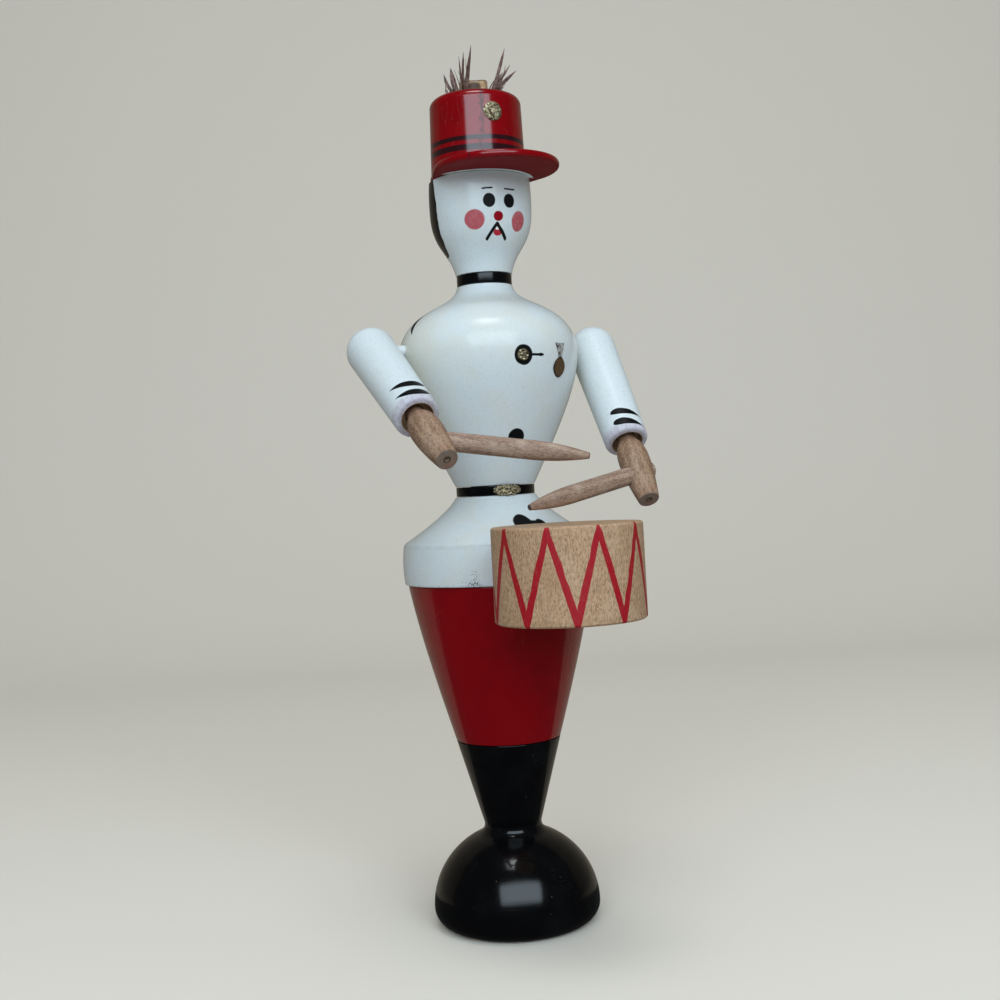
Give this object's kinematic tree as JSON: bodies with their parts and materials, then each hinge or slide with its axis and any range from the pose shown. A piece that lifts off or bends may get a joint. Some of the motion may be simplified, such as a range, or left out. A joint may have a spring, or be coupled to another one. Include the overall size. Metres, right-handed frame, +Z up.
{
  "type": "wooden drummer figurine",
  "caption": "Turned and lacquered wooden drummer figure on a domed base, with swinging arms that hold drumsticks over a plain wooden drum.",
  "frame": {"origin": "middle of the flat foot under the base", "axes": "+Z up along the figure's axis, the figure faces -Y, +X is the figure's own left"},
  "size_m": [0.071, 0.0819, 0.2178],
  "materials": {
    "black_lacquer": "gloss lacquer",
    "red_lacquer": "gloss lacquer",
    "white_lacquer": "satin lacquer",
    "beech": "bare, fine-grained",
    "pale_wood": "bare",
    "quill": "dull",
    "gold_foil": "embossed",
    "silver_foil": "embossed, tarnished"
  },
  "bodies": {
    "figure": {"base_dome": "black_lacquer", "boot_shaft": "black_lacquer", "leg_dowel": "beech", "trousers": "red_lacquer", "hip_dowel": "beech", "jacket_skirt": "white_lacquer", "waist_belt": "black_lacquer", "torso": "white_lacquer", "neck_band": "black_lacquer", "head": "white_lacquer", "hat_dowel": "beech", "hat_visor": "red_lacquer", "hat_crown": "red_lacquer", "plume_plug": "pale_wood", "plume": "quill", "drum_peg": "beech", "drum": "beech", "hat_badge": "gold_foil", "belt_buckle": "gold_foil", "chest_button": "gold_foil", "medal": "silver_foil", "right_shoulder_pin": "beech", "left_shoulder_pin": "beech"},
    "right_arm": {"right_sleeve": "white_lacquer", "right_hand": "beech", "right_drumstick": "beech"},
    "left_arm": {"left_sleeve": "white_lacquer", "left_hand": "beech", "left_drumstick": "beech"}
  },
  "joints": [
    {"name": "right_shoulder", "type": "hinge", "parent": "figure", "child": "right_arm", "pos_m": [-0.03025, 0, 0.14208], "axis": [-1, 0, 0], "range_deg": [-16, 62]},
    {"name": "left_shoulder", "type": "hinge", "parent": "figure", "child": "left_arm", "pos_m": [0.02885, 0, 0.14208], "axis": [-1, 0, 0], "range_deg": [-4, 79]}
  ]
}
